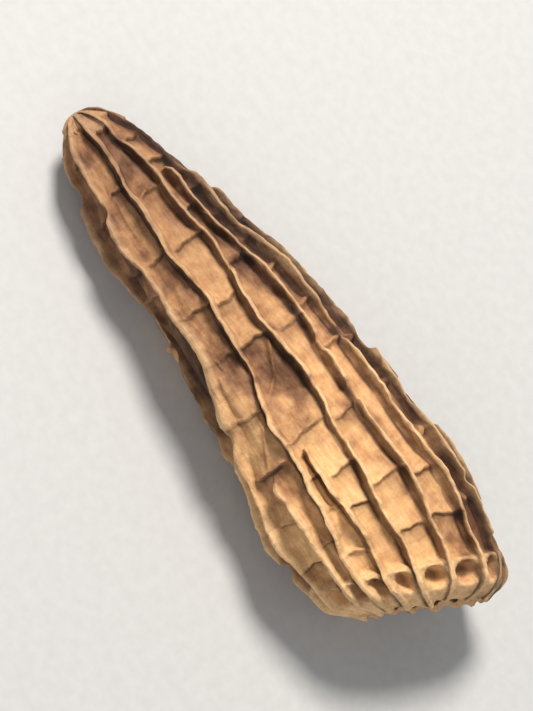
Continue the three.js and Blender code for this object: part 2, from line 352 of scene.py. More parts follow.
# Where columns stand beside a ridge, drawn together in gaps narrower than this
NEAR_RIDGE = [0, 0.10, 0.19, 0.27, 0.37, 0.52, 0.76]
NARROW_GAP = 2.4
MID_COLUMNS = 4
GAP_COLUMNS = 2 * len(NEAR_RIDGE) - 1 + MID_COLUMNS
# Where the rows just before and after a wall stand, by how many rows they are from it, and the share of
# the pit beside each ridge in which they go back to even rows
NEAR_WALL = {-1: -0.14, 0: 0, 1: 0.1, 2: 0.24, 3: 0.44}
WALL_HOLD = 0.1
# The waver of a wall across its pit: size, pace across, and shift for each millimetre from the tip
WALL_WAVES = [(0.16, 5.1, 7.3), (0.06, 17, 3.1)]
WALLS = list_walls()


def gap_shares(width):
    """Where a gap's columns stand across it, closer together beside its ridges"""
    squeeze = np.minimum(1, width / NARROW_GAP)
    near = [d * squeeze for d in NEAR_RIDGE]
    inner = [mix(near[-1], width - near[-1], (i + 1) / (MID_COLUMNS + 1)) for i in range(MID_COLUMNS)]
    far = [width - d for d in reversed(near[1:])]
    return np.stack([d / width for d in near + inner + far], axis=-1)


def share_across(wall, s, turn):
    low, high = ridge_turn(wall["left"], s), ridge_turn(wall["right"], s)
    return (turn - low) / (high - low)


def wall_line(wall, share):
    """Where a wall runs at each share across its pit"""
    wave = sum(size * np.sin(pace * share + shift * wall["s"]) for size, pace, shift in WALL_WAVES)
    return wall["s"] + wall["slant"] * (share - 0.5) + wave * 4 * share * (1 - share)


def column_rows(level, turn, gap):
    """The distances from the tip of one column's points: even, but close together at each cross wall"""
    anchors = {0: level[0], ROWS - 1: level[-1]}
    for wall in WALLS:
        if not wall["left"] <= gap < wall["right"]:
            continue
        row = int(round((wall["s"] - level[0]) / (level[1] - level[0])))
        if not 3 < row < ROWS - 5:
            continue
        share = float(share_across(wall, level[row], turn[row]))
        hold = min(1, max(0, min(share, 1 - share)) / WALL_HOLD)
        line = float(wall_line(wall, share))
        for shift, away in NEAR_WALL.items():
            anchors[row + shift] = mix(level[row + shift], line + away, hold)
    rows = sorted(anchors)
    return np.interp(np.arange(ROWS), rows, [anchors[row] for row in rows])


def build_grid():
    """The distance from the tip and the turn of each point of the fine grid"""
    level = np.linspace(FIRST_ROW, CUT_AT, ROWS)
    s_columns, turn_columns = [], []
    for gap in range(len(RIDGES)):
        low, high = ridge_turn(gap, level), ridge_turn(gap + 1, level)
        shares = gap_shares((high - low) * girth(level, (low + high) / 2))
        for column in range(GAP_COLUMNS):
            s = column_rows(level, mix(low, high, shares[:, column]), gap)
            s_columns.append(s)
            turn_columns.append(mix(ridge_turn(gap, s), ridge_turn(gap + 1, s), shares[:, column]))
    return np.stack(s_columns, axis=1), np.stack(turn_columns, axis=1)


FAR_AWAY = 99.0
SAME_TURN = 1e-9
# A ridge that forks off grows up over this stretch past its fork, and until then it counts as further off
FORK_GROWS = (-0.1, 2.1)
UNGROWN_AWAY = 5


def nearest_ridge(s, turn, around):
    """The signed millimetres from the nearest standing ridge, its number and how far it stands"""
    away = np.full(s.shape, FAR_AWAY)
    owner = np.zeros(s.shape, int)
    stands = np.zeros(s.shape)
    for k in range(len(RIDGES) + 1):
        here = (turn - ridge_turn(k, s)) * around
        fork = RIDGES[k % len(RIDGES)][1]
        grown = smooth(s, fork + FORK_GROWS[0], fork + FORK_GROWS[1]) if fork else np.ones_like(s)
        closer = np.abs(here) + (1 - grown) * UNGROWN_AWAY < np.abs(away)
        away = np.where(closer, here, away)
        owner = np.where(closer, k % len(RIDGES), owner)
        stands = np.where(closer, grown, stands)
    return away, owner, stands


def between(turn, low, high):
    return (turn >= low - SAME_TURN) & (turn <= high + SAME_TURN)


# A crest rises and dips along the cap. It is made ragged by two wavers of size, length and seed.
DIP = 0.13
DIP_LENGTH = 11
DIP_PHASES = np.array([2 * sway[0] for sway in SWAYS])
RAGGED = [(0.045, 0.5, 5), (0.08, 1.9, 6)]
NOTCH = {"deep": 0.42, "apart": 2.7, "seed": 7, "ends": (0.45, 0.8)}
# Places where a crest has been pressed down: ridge, middle, reach, share of its height lost
PRESSED = [(2, 31.2, 1.5, 0.6), (1, 43.5, 0.9, 0.35), (3, 46.2, 0.6, 0.4), (6, 33, 1.2, 0.3)]


def crest_height(s, owner, stands):
    """The height of the crest of each point's own ridge"""
    crest = ridge_height(s) * stands
    crest = crest * (1 + DIP * np.sin(TURN * s / DIP_LENGTH + DIP_PHASES[owner]))
    for ridge, middle, reach, lost in PRESSED:
        crest = crest * (1 - lost * (owner == ridge) * np.exp(-(((s - middle) / reach) ** 2)))
    ragged = 1
    for size, length, seed in RAGGED:
        ragged = ragged + size * lattice_noise(s / length, owner * 3.0, seed)
    notch = lattice_noise(s / NOTCH["apart"], owner * 5.0, NOTCH["seed"])
    return crest * (ragged - NOTCH["deep"] * smooth(notch, *NOTCH["ends"]))


# Each ridge leans to one side, where it stands steep over a gutter; the other side is a gentler slope
LEANS = np.array([-1, -1, -1, -1, -1, -1, -1, -1, -0.4, 0.6, 1, -0.8, 0.7, 1, -0.5, 0.8, -0.7, -1])
# A crest's half width and how it changes, how far its two sides run, and the low foot on both sides
CREST = {"half": 0.15, "varies": 0.05, "length": 1.3, "seed": 3, "at_rim": 0.1, "rim": (53.5, 57)}
STEEP_RUN = 0.15
SLOPE_RUN = 0.36
FOOT = 0.16
FOOT_REACH = 0.6
# The first ridge is rolled over as a lip above the sunken flank
LIP = {"ridge": 0, "middle": 30.5, "reach": 6, "extra": 0.3, "slope": 0.5}


def ridge_relief(s, turn, around):
    """The ridges' height, how far each point stands in a gutter or in the painted shadow under a crest,
    and how far crests lean
    """
    away, owner, stands = nearest_ridge(s, turn, around)
    lean = LEANS[owner]
    steep = away * np.sign(lean)
    half = CREST["half"] + CREST["varies"] * lattice_noise(s / CREST["length"], owner * 3.0, CREST["seed"])
    half = half + CREST["at_rim"] * smooth(s, *CREST["rim"])
    lip = np.exp(-(((s - LIP["middle"]) / LIP["reach"]) ** 4)) * (owner == LIP["ridge"])
    half = half + LIP["extra"] * lip * (steep < 0)
    steep_side = 1 - smooth(steep, half, half + STEEP_RUN)
    slope_side = 1 - smooth(-steep, half, half + SLOPE_RUN + LIP["slope"] * lip)
    blade = np.where(steep > 0, steep_side, slope_side)
    foot = FOOT * np.exp(-((away / FOOT_REACH) ** 2)) * stands
    height = crest_height(s, owner, stands) * np.clip(blade + foot * (1 - blade), 0, 1)
    return height, gutter_and_crest_shadow(s, owner, steep, half, stands), blade * lean, away


# The gutter under a ridge's steep side, painted dark as shadow, and how much painted shadow that side gets
GUTTER = {"away": 0.45, "reach": 0.23, "least": 0.72, "more": 0.28, "length": 2.2, "seed": 8}
UNDER_CREST = 0.7


def gutter_and_crest_shadow(s, owner, steep, half, stands):
    gutter = np.exp(-(((steep - GUTTER["away"]) / GUTTER["reach"]) ** 2)) * stands
    varies = smooth(lattice_noise(s / GUTTER["length"], owner * 7.0, GUTTER["seed"]), -0.5, 0.4)
    gutter = gutter * (GUTTER["least"] + GUTTER["more"] * varies)
    under = (steep > 0) * smooth(steep, 0.5 * half, half + 0.05)
    under = under * (1 - smooth(steep, half + 0.1, half + 0.3))
    return np.maximum(gutter, UNDER_CREST * under * stands)


# How far along a wall reaches, and how far the rounded corner between a wall and a ridge does
WALL_REACH = 4.5
CORNER_ALONG = 0.55
CORNER_ACROSS = 0.7


def wall_relief(s, turn, away_ridge):
    """The cross walls' height as a share of the ridges', their slits, corners, and the count passed"""
    height = np.zeros(s.shape)
    slit = np.zeros(s.shape)
    corner = np.zeros(s.shape)
    solid_tip = np.zeros(s.shape)
    passed = np.zeros(s.shape, int)
    for wall in WALLS:
        low, high = ridge_turn(wall["left"], s), ridge_turn(wall["right"], s)
        inside = between(turn, low, high)
        share = np.where(inside, (turn - low) / (high - low), 0)
        away = s - wall_line(wall, share)
        passed += inside & (away > 0)
        if wall["kind"] == "first":
            solid_tip[inside & (away < 0)] = 1
        near = inside & (np.abs(away) < WALL_REACH)
        if not near.any():
            continue
        shape, cut = wall_shape(wall, share[near], away[near])
        height[near] = np.maximum(height[near], shape)
        slit[near] = np.maximum(slit[near], cut)
        fillet = np.exp(-((away[near] / CORNER_ALONG) ** 2) - (away_ridge[near] / CORNER_ACROSS) ** 2)
        corner[near] = np.maximum(corner[near], fillet * (wall["kind"] not in ("last", "rim")))
    return height, slit, corner, solid_tip, passed


# The wall at the cut is scalloped: this share of it is left between the ridges
RIM_SCALLOP = 0.45
CUT_SLOPE = (0.05, 0.35)
SAG_POWER = 1.5


def wall_shape(wall, share, away):
    """One wall's height and slit at each share across and distance along"""
    bow = 4 * share * (1 - share)
    if wall["kind"] == "last":
        scallop = RIM_SCALLOP + (1 - RIM_SCALLOP) * (1 - bow) ** 2
        return scallop * (1 - smooth(-away, *CUT_SLOPE)), np.zeros_like(share)
    top = mix(wall["left_top"], wall["right_top"], share) * (1 - wall["sag"] * bow ** SAG_POWER)
    blades = FACE_BLADES if wall["face"] else OTHER_BLADES
    if wall["kind"] == "rim":
        return blade_shape(wall, top * RIM_BLADE, blades["slope"], bow, away)
    if wall["kind"] == "first" or wall["blade"] > blades["from"]:
        return blade_shape(wall, top, blades["slope"], bow, away)
    return step_shape(wall, top * STEP_SHARE, share, away)


# Few walls of the broad face are thin blades, and more of the others are. Each has a short slit past it.
FACE_BLADES = {"from": 0.9, "slope": 0.34}
OTHER_BLADES = {"from": 0.4, "slope": 0.55}
RIM_BLADE = 0.5
BLADE_HALF = 0.08
# The slit past a blade is sunk, and also painted dark as its shadow
BLADE_SLIT = {"deep": 0.35, "away": 0.36, "reach": 0.16, "ends": (0.1, 0.5)}


def blade_shape(wall, top, slope, bow, away):
    shape = top * (1 - smooth(np.abs(away), BLADE_HALF, BLADE_HALF + slope))
    slit = np.exp(-(((away - BLADE_SLIT["away"]) / BLADE_SLIT["reach"]) ** 2))
    return shape, BLADE_SLIT["deep"] * wall["slit"] * slit * smooth(bow, *BLADE_SLIT["ends"])


# The rest are steps like shingles: a ramp up to an edge, which drops into a slit with a shallow tail
STEP_SHARE = 0.8
STEP_EDGE = 0.06
STEP_BEND = 1.2
STEP_DROP = (0.03, 0.16)
# The slit and its tail are sunk, and also painted dark as the step's shadow
STEP_SLIT = {"away": 0.27, "reach": 0.17, "fade": 0.12, "tail": 0.6, "tail_reach": 0.8, "tail_from": 0.1}


def step_shape(wall, top, share, away):
    ramp = np.exp(-((np.maximum(-away - STEP_EDGE, 0) / wall["ramp"]) ** STEP_BEND))
    shape = top * np.where(away < 0, ramp, 1 - smooth(away, *STEP_DROP))
    fade = STEP_SLIT["fade"]
    span = smooth(share, wall["slit_from"], wall["slit_from"] + fade)
    span = span * smooth(-share, -wall["slit_to"], fade - wall["slit_to"])
    slit = np.exp(-(((away - STEP_SLIT["away"]) / STEP_SLIT["reach"]) ** 2))
    past = np.maximum(away - STEP_SLIT["away"], 0)
    tail = STEP_SLIT["tail"] * np.exp(-past / STEP_SLIT["tail_reach"]) * (away > STEP_SLIT["tail_from"])
    return shape, wall["slit"] * span * np.maximum(slit, tail)


# Low ribs that run part of the way along each trough, drawn between two values: the share across, where
# they start, how far they run and how high they are
LOW_RIBS = 3
LOW_RIB = {"place": (0.3, 0.7), "start": (6, 50), "run": (3, 9), "tall": (0.1, 0.26)}
LOW_RIB_REACH = 0.24
LOW_RIB_END = 1.2
LOW_RIB_SWAY = 0.05
LOW_RIB_PACE = 0.9
# Slanting ribs on the broad face: the distance and turn of their two ends, and their height
SLANTED_RIBS = [
    ((28.2, 20), (32.3, 5), 0.62), ((32.3, 5), (34.1, -10), 0.5), ((20.2, 33), (24, 40), 0.4),
    ((36, -22), (39.4, -36), 0.4), ((24.5, -31), (29.5, -22), 0.34), ((44.5, 66), (49.5, 50), 0.5),
]
SLANTED_REACH = 0.26


def small_ribs(s, turn, around):
    total = np.zeros(s.shape)
    for gap in range(len(RIDGES)):
        draw = make_random(3000 + 17 * gap)
        low, high = ridge_turn(gap, s), ridge_turn(gap + 1, s)
        inside = (turn > low) & (turn < high)
        for _ in range(LOW_RIBS):
            place, start, run, tall = (draw(*limits) for limits in LOW_RIB.values())
            middle = mix(low, high, place + LOW_RIB_SWAY * np.sin(s * LOW_RIB_PACE + gap))
            ends = smooth(s, start, start + LOW_RIB_END)
            ends = ends * smooth(-s, -start - run, LOW_RIB_END - start - run)
            rib = tall * ends * np.exp(-(((turn - middle) * around / LOW_RIB_REACH) ** 2))
            total = np.maximum(total, np.where(inside, rib, 0))
    for start, end, tall in SLANTED_RIBS:
        total = np.maximum(total, tall * slanted_rib(s, turn, around, start, end))
    return total


def slanted_rib(s, turn, around, start, end):
    along, across = end[0] - start[0], np.radians(end[1] - start[1]) * around
    off_s, off_turn = s - start[0], (turn - math.radians(start[1])) * around
    t = np.clip((off_s * along + off_turn * across) / (along ** 2 + across ** 2), 0, 1)
    far = np.hypot(off_s - t * along, off_turn - t * across)
    return np.exp(-((far / SLANTED_REACH) ** 2))


# The last pit of each gap is a round cell with a thick rounded wall. Its middle, half length and squash
# across are drawn, and it keeps a margin to the ridges.
RIM_CELL = {
    "at": (56.0, 57.1), "half": (0.95, 1.85), "squash": (0.7, 1), "margin": 0.12, "least": 0.3,
    "wall": (0.62, 0.95), "fade": 0.45, "hollow": (0.3, 0.75), "tall": 0.85, "deep": 0.4,
}


def rim_cells(s, turn, around):
    """The rings of the rim's round cells, as a share of the ridges' height, and their sunken middles,
    painted in shade
    """
    ring, hollow = np.zeros(s.shape), np.zeros(s.shape)
    for gap in range(len(RIDGES)):
        draw = make_random(4100 + 23 * gap)
        at, half, squash = draw(*RIM_CELL["at"]), draw(*RIM_CELL["half"]), draw(*RIM_CELL["squash"])
        low, high = ridge_turn(gap, s), ridge_turn(gap + 1, s)
        inside = between(turn, low, high)
        reach = np.maximum((high - low) * around / 2 - RIM_CELL["margin"], RIM_CELL["least"])
        across = (turn - (low + high) / 2) * around / reach / squash
        far = np.hypot((s - at) / half, across)
        wall = smooth(far, *RIM_CELL["wall"]) * (1 - smooth(at - s, half, half + RIM_CELL["fade"]))
        ring = np.where(inside, np.maximum(ring, wall), ring)
        hollow = np.where(inside, np.maximum(hollow, 1 - smooth(far, *RIM_CELL["hollow"])), hollow)
    return ring * RIM_CELL["tall"], hollow


# The smooth sunken flank under the lip: where it starts and ends along the cap and below the lip
# It is also painted dark as shade, where it turns away from the light
FLANK = {"from": 19, "grows": 6, "to": 38.5, "fades": 5, "under": (0.25, 0.8), "past": 8, "softens": 2.4}
FLANK_SUNK = 0.5
FLANK_SMOOTHS = 0.93
# The bulge beside it, where the ridges have been pressed out; its paler tone is painted light
BULGE = {"s": 30.6, "turn": -30, "reach": 4.2, "spread": 9, "height": 0.8}
BULGE_OVER_WALLS = 0.8
BULGE_OVER_SLITS = 0.7


def flank_share(s, turn, around):
    below = (ridge_turn(0, s) - turn) * around
    below = np.where(below > math.pi * around, below - TURN * around, below)
    below = np.where(below < -math.pi * around, below + TURN * around, below)
    along = smooth(s, FLANK["from"], FLANK["from"] + FLANK["grows"])
    along = along * smooth(-s, -FLANK["to"], FLANK["fades"] - FLANK["to"])
    under = smooth(below, *FLANK["under"])
    return along * under * smooth(-below, -FLANK["past"], FLANK["softens"] - FLANK["past"])


def bulge_share(s, turn):
    across = (turn - math.radians(BULGE["turn"])) / math.radians(BULGE["spread"])
    return np.exp(-(((s - BULGE["s"]) / BULGE["reach"]) ** 2) - across ** 2)


# The unevenness of the skin: size, length along and across, and seed
SWELL = (0.12, 3.2, 2.0, 13)
FINE_SWELL = (0.06, 1.3, 1.1, 14)
FIBRE = (0.035, 3, 0.6, 11)
CREASE = (0.035, 0.8, 1.5, 12)
# How far pit floors, slits and gutters lie below the skin, and how high corners and the solid tip stand
FLOOR_SUNK = 0.1
SLIT_DEPTH = 0.34
GUTTER_DEPTH = 0.24
CORNER_SHARE = 0.5
TIP_FILL = 0.86
# How much the middle of a round cell takes off its wall, and how much of the floor crests follow
CELL_SINKS = 0.9
CREST_FOLLOWS = 0.3
# Painted shade in the round cells and on the flank, the flank's painted-shade tone and the bulge's
# painted-light tone
CELL_SHADE = 0.75
FLANK_SHADE = 0.62
FLANK_SHADE_TONE = -0.9
BULGE_LIGHT_TONE = 0.7
# How pale a raised place is: the least, and what is added on a crest, a round cell's wall or the tip
# Paler crests are partly the ridges' own colour and partly painted shade that leaves the pits darker
LEAST_PALE = 0.55
CREST_PALE = 0.45
CREST_FROM = (0.1, 0.5)
MOST_RAISED = 1.2


def unevenness(s, across, form):
    size, length, width, seed = form
    return size * lattice_noise(s / length, across / width, seed)


def relief(s, turn):
    """How far each point stands above the skin, with the masks that colour it"""
    around = girth(s, turn)
    ridges, gutter, lean, away = ridge_relief(s, turn, around)
    walls, slit, corner, solid_tip, passed = wall_relief(s, turn, away)
    rings, hollows = rim_cells(s, turn, around)
    flank = flank_share(s, turn, around)
    bulge = bulge_share(s, turn)
    height = ridge_height(s)

    slit = slit * (1 - BULGE_OVER_SLITS * bulge)
    raised = np.maximum(ridges, walls * height * (1 - BULGE_OVER_WALLS * bulge))
    raised = np.maximum(raised, corner * CORNER_SHARE * height)
    raised = np.where(solid_tip > 0, np.maximum(raised, height * TIP_FILL), raised)
    raised = np.maximum(raised, rings * height) * (1 - CELL_SINKS * hollows)
    raised = raised * (1 - FLANK_SMOOTHS * flank)

    across = turn * around
    swell = unevenness(s, across, SWELL) + unevenness(s, across, FINE_SWELL)
    crease = unevenness(s, across, CREASE)
    floor = swell + unevenness(s, across, FIBRE) + crease + BULGE["height"] * bulge
    floor = floor + small_ribs(s, turn, around) - FLOOR_SUNK
    floor = floor - SLIT_DEPTH * slit - GUTTER_DEPTH * gutter - RIM_CELL["deep"] * hollows
    floor = mix(floor, swell * 0.7 + crease * 0.5 - FLANK_SUNK, flank)
    lift = np.maximum(floor, raised + CREST_FOLLOWS * np.clip(floor, -0.1, 0.1))

    # Painted shadow in slits, gutters and under steep crest sides, painted shade in cell middles and on the
    # flank
    shade = np.clip(slit + gutter + CELL_SHADE * hollows, 0, 1) * (1 - flank) + FLANK_SHADE * flank
    # The pits' own tones, plus painted light and shade: the regions, the flank and the bulge
    tone = cell_tone(turn, passed) + region_tone(s, turn)
    tone = mix(tone, FLANK_SHADE_TONE, flank) + BULGE_LIGHT_TONE * bulge
    pale = LEAST_PALE + CREST_PALE * smooth(np.maximum(ridges / height, rings + solid_tip), *CREST_FROM)
    return lift, pale * np.clip(lift / height, 0, MOST_RAISED), shade, lean * (1 - flank), around, tone


# The tones that pits take in turn: how many there are, how strong, and the steps from pit to pit
PIT_TONE_COUNT = 211
PIT_TONE_SHARE = 0.8
PIT_TONE_ACROSS = 37
PIT_TONE_ALONG = 11


def cell_tone(turn, passed):
    """A tone for each pit, so that neighbouring pits differ"""
    gap = np.arange(turn.shape[1]) // GAP_COLUMNS
    table = np.random.default_rng(77).uniform(-1, 1, PIT_TONE_COUNT)
    number = (gap[None, :] // 2) * PIT_TONE_ACROSS + passed * PIT_TONE_ALONG
    return table[number % PIT_TONE_COUNT] * PIT_TONE_SHARE


# Patches of the broad face that are paler or browner: middle, reach, turn, spread, tone
# The paler patch at 30.5 mm and 34 degrees is painted light, where the light falls brightest
FACE_TONES = [
    (33.6, 2.7, 11, 9, -0.9), (30.5, 5.5, 34, 9, 1.1), (34.5, 2.8, -28, 9, 0.6), (39.2, 3.2, 37, 8, -0.6),
    (45.2, 2.2, 38, 8, -0.5), (22, 4, 24, 9, 0.4),
]
# Painted shade on the upper flank between two turns, and painted light on the lower part of the base half
UPPER_FLANK_SHADE = {"from": (50, 80), "to": (-190, -150), "tone": 1.5}
BASE_LIGHT = {"along": (30, 42), "turn": (-20, 50), "tone": 0.8}


def region_tone(s, turn):
    """Painted shade on the upper flank, painted light on the lower part of the base half, and the face's
    patches
    """
    flank = smooth(turn, *np.radians(UPPER_FLANK_SHADE["from"])) * smooth(-turn, *np.radians(UPPER_FLANK_SHADE["to"]))
    base_light = smooth(s, *BASE_LIGHT["along"]) * (1 - smooth(turn, *np.radians(BASE_LIGHT["turn"])))
    total = BASE_LIGHT["tone"] * base_light - UPPER_FLANK_SHADE["tone"] * flank
    for middle, reach, face_turn, spread, tone in FACE_TONES:
        away = (turn - math.radians(face_turn)) / math.radians(spread)
        total = total + tone * np.exp(-(((s - middle) / reach) ** 4) - away ** 4)
    return total


# How far a crest leans over, and how that varies
LEAN = 0.14
LEAN_VARIES = 0.1
# The cut edge: how far it is torn back between ridges, how far the tear reaches into the last rings, the
# rings over the cut face, their rounding, and how much of the tear the hollow's side has
TEAR_BETWEEN = 0.45
TEAR_NEAR = 0.55
TORN_RINGS = {-1: 1, -2: 0.6, -3: 0.25}
CUT_RINGS = (0.12, 0.4, 0.7, 0.92, 1.0)
CUT_ROUNDING = 0.14
CUT_TEAR_LOST = 0.5
CUT_RAISED = 0.9
CUT_TONE = 0.3


def cap_arrays():
    """The points of the cap in rings from the tip, out over the cut edge and in to the hollow's tip, with
    masks for each: raised share, painted shade, cut face, inside and tone. The hollow has half as many
    columns."""
    s, turn = build_grid()
    lift, raised, shade, lean, around, tone = relief(s, turn)
    lean_by = LEAN + LEAN_VARIES * lattice_noise(s / 2.4, turn * 3, 21)
    lean_by = lean_by * np.clip(raised, 0, 1) ** 2 * lean
    outer = point(s, turn + lean_by / around, lift)
    zeros = np.zeros(s.shape)
    outer_masks = np.stack([raised, shade, zeros, zeros, tone], axis=-1)
    ridge_near = np.exp(-((nearest_ridge(s[-1], turn[-1], around[-1])[0] / TEAR_NEAR) ** 2))
    tear = cut_tear(turn[-1]) + TEAR_BETWEEN * (ridge_near - 1)
    for ring, share in TORN_RINGS.items():
        outer[ring, :, 0] += tear * share
    edge, edge_masks = cut_face(turn[-1], lift[-1], ridge_near, tear)
    inner, inner_masks = hollow_rings(turn[-1][::2])
    return np.concatenate([outer, edge]), np.concatenate([outer_masks, edge_masks]), inner, inner_masks


def cut_face(turn, lift, ridge_near, tear):
    """The rings over the cut face, from the outside in to the hollow, and their masks"""
    rings = []
    masks = []
    for share in CUT_RINGS:
        depth = mix(lift, INNER_RIDGE * ridge_near - RIM_FLESH, share)
        ring = point(np.full_like(turn, CUT_AT), turn, depth)
        ring[:, 0] += tear * (1 - CUT_TEAR_LOST * share) + CUT_ROUNDING * math.sin(math.pi * share)
        rings.append(ring)
        masks.append(np.broadcast_to([CUT_RAISED, 0, 1, share, CUT_TONE], (len(turn), 5)))
    return np.stack(rings), np.stack(masks)


# The hollow: a faint groove behind each ridge, warts, the rings near the cut, and the even ones after
INNER_RIDGE = 0.45
INNER_NEAR = 0.6
WARTS = (0.09, 1.5, 7, 31)
FINE_WARTS = (0.05, 0.8, 15, 32)
THINS_FROM = 50
INSIDE_CUT = (0.35, 0.8, 1.4)
HOLLOW_FROM = SKIN_LENGTH - 2.4
HOLLOW_TIP = 8
HOLLOW_RINGS = 27


def hollow_rings(end_turn):
    """The rings of the hollow from the cut to its own tip, and their masks"""
    near_cut = [CUT_AT - back for back in INSIDE_CUT]
    rows = np.concatenate([near_cut, np.linspace(HOLLOW_FROM, HOLLOW_TIP, HOLLOW_RINGS)])
    s, turn = np.meshgrid(rows, end_turn, indexing="ij")
    ridge_near = np.exp(-((nearest_ridge(s, turn, girth(s, turn))[0] / INNER_NEAR) ** 2))
    warts = np.zeros(s.shape)
    for size, length, pace, seed in (WARTS, FINE_WARTS):
        warts = warts + size * lattice_noise(s / length, turn * pace, seed)
    thick = mix(FLESH, RIM_FLESH, smooth(s, THINS_FROM, CUT_AT))
    points = point(s, turn, INNER_RIDGE * ridge_near - thick + warts)
    flat = np.zeros(s.shape)
    return points, np.stack([0.3 + warts * 2, flat, flat, flat + 1, flat], axis=-1)


TEAR_STEPS = 36
TORN = 0.35
FINE_TEAR = 0.05


def cut_tear(turn):
    """How far the cut edge is torn forward or back, with the solid's own draws"""
    draw = make_random(505)
    steps = np.array([draw(-TORN, TORN) for _ in range(TEAR_STEPS)])
    at = ((turn - turn[0]) / TURN * TEAR_STEPS) % TEAR_STEPS
    i = np.floor(at).astype(int)
    torn = mix(steps[i % TEAR_STEPS], steps[(i + 1) % TEAR_STEPS], at - i)
    return torn + FINE_TEAR * lattice_noise(at * 2.1, at * 0, 41)


def ring_faces(first, count, width):
    """The quads between rings of equal width, numbered from the first vertex given"""
    index = first + np.arange(count * width).reshape(count, width)
    ahead = np.roll(index, -1, axis=1)
    quads = np.stack([index[:-1], index[1:], ahead[1:], ahead[:-1]], axis=-1)
    return index, quads.reshape(-1, 4).tolist()


def halving_faces(wide, narrow):
    """The triangles from a ring to one with half as many vertices"""
    even, odd, next_even = wide[::2], wide[1::2], np.roll(wide[::2], -1)
    ahead = np.roll(narrow, -1)
    fans = [(even, narrow, odd), (odd, narrow, ahead), (odd, ahead, next_even)]
    return np.concatenate([np.stack(fan, axis=-1) for fan in fans]).tolist()


# How far the two points that close the tip and the hollow stand past their rings, and their masks
TIP_PAST = 0.15
HEART_PAST = 0.8
TIP_MASKS = [0.9, 0, 0, 0, 0]
HEART_MASKS = [0.3, 0, 0, 1, 0]
# shade is painted shade and shadow; tone holds painted light and shade besides the pits' own tones
MASK_NAMES = ("raised", "shade", "cut", "inside", "tone")


def cap_mesh(vertices, faces, masks):
    mesh = bpy.data.meshes.new("morel_skin")
    mesh.from_pydata(vertices.tolist(), [], faces)
    mesh.polygons.foreach_set("use_smooth", np.ones(len(mesh.polygons), bool))
    for name, column in zip(MASK_NAMES, masks.T):
        layer = mesh.attributes.new(name, "FLOAT", "POINT")
        layer.data.foreach_set("value", np.ascontiguousarray(column, dtype=np.float32))
    mesh.update()
    return mesh


def build_cap():
    outer, outer_masks, inner, inner_masks = cap_arrays()
    width = outer.shape[1]
    points = np.concatenate([outer.reshape(-1, 3), inner.reshape(-1, 3)]) - MIDDLE
    low, high = (np.array(corner) * 1000 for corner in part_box("morel_cap"))
    points = np.clip(points, low, high)
    tip = np.maximum(points[:width].mean(axis=0) - (TIP_PAST, 0, 0), low)
    heart = points[-width // 2:].mean(axis=0) - (HEART_PAST, 0, 0)
    vertices = np.concatenate([points, [tip, heart]]) / 1000
    outside, outer_quads = ring_faces(0, len(outer), width)
    inside, inner_quads = ring_faces(outside.size, len(inner), width // 2)
    apex = outside.size + inside.size
    faces = outer_quads + inner_quads + halving_faces(outside[-1], inside[0])
    faces += [(apex, a, b) for a, b in zip(outside[0].tolist(), np.roll(outside[0], -1).tolist())]
    faces += [(apex + 1, b, a) for a, b in zip(inside[-1].tolist(), np.roll(inside[-1], -1).tolist())]
    ends = [TIP_MASKS, HEART_MASKS]
    masks = np.concatenate([outer_masks.reshape(-1, 5), inner_masks.reshape(-1, 5), ends])
    cap = bpy.data.objects.new("morel_skin", cap_mesh(vertices, faces, masks))
    bpy.context.scene.collection.objects.link(cap)
    return cap


def srgb(colour):
    """A colour of the screen's 0 to 255 as Blender's linear values"""
    linear = [((c / 255 + 0.055) / 1.055) ** 2.4 if c > 10 else c / 3294.6 for c in colour]
    return (*linear, 1)


class Nodes:
    """Short calls for building one material's node tree"""

    def __init__(self, material):
        material.use_nodes = True
        self.tree = material.node_tree
        self.tree.nodes.clear()

    def add(self, kind, **settings):
        node = self.tree.nodes.new(kind)
        for name, value in settings.items():
            setattr(node, name, value)
        return node

    def link(self, source, target):
        self.tree.links.new(source, target)

    def feed(self, socket, value):
        if isinstance(value, bpy.types.NodeSocket):
            self.link(value, socket)
        else:
            socket.default_value = value

    def attribute(self, name):
        return self.add("ShaderNodeAttribute", attribute_name=name).outputs["Fac"]

    def maths(self, operation, a, b=0.0, clamp=False):
        node = self.add("ShaderNodeMath", operation=operation, use_clamp=clamp)
        self.feed(node.inputs[0], a)
        self.feed(node.inputs[1], b)
        return node.outputs[0]

    def noise(self, where, scale, detail=3.0, rough=0.55):
        node = self.add("ShaderNodeTexNoise")
        self.link(where, node.inputs["Vector"])
        node.inputs["Scale"].default_value = scale
        node.inputs["Detail"].default_value = detail
        node.inputs["Roughness"].default_value = rough
        return node.outputs["Fac"]

    def stretch(self, where, scale):
        node = self.add("ShaderNodeMapping")
        self.link(where, node.inputs["Vector"])
        node.inputs["Scale"].default_value = scale
        return node.outputs["Vector"]

    def ramp(self, value, stops):
        node = self.add("ShaderNodeValToRGB")
        self.link(value, node.inputs["Fac"])
        elements = node.color_ramp.elements
        while len(elements) < len(stops):
            elements.new(1)
        for element, (at, colour) in zip(elements, stops):
            element.position = at
            element.color = colour
        return node.outputs["Color"]

    def blend(self, mode, share, a, b):
        node = self.add("ShaderNodeMix", data_type="RGBA", blend_type=mode)
        self.feed(node.inputs["Factor"], share)
        self.feed(node.inputs["A"], a)
        self.feed(node.inputs["B"], b)
        return node.outputs["Result"]

    def remap(self, value, low, high, to_low, to_high):
        node = self.add("ShaderNodeMapRange")
        self.link(value, node.inputs["Value"])
        for name, number in zip(("From Min", "From Max", "To Min", "To Max"), (low, high, to_low, to_high)):
            node.inputs[name].default_value = number
        return node.outputs["Result"]


def grey(value):
    return (value, value, value, 1)


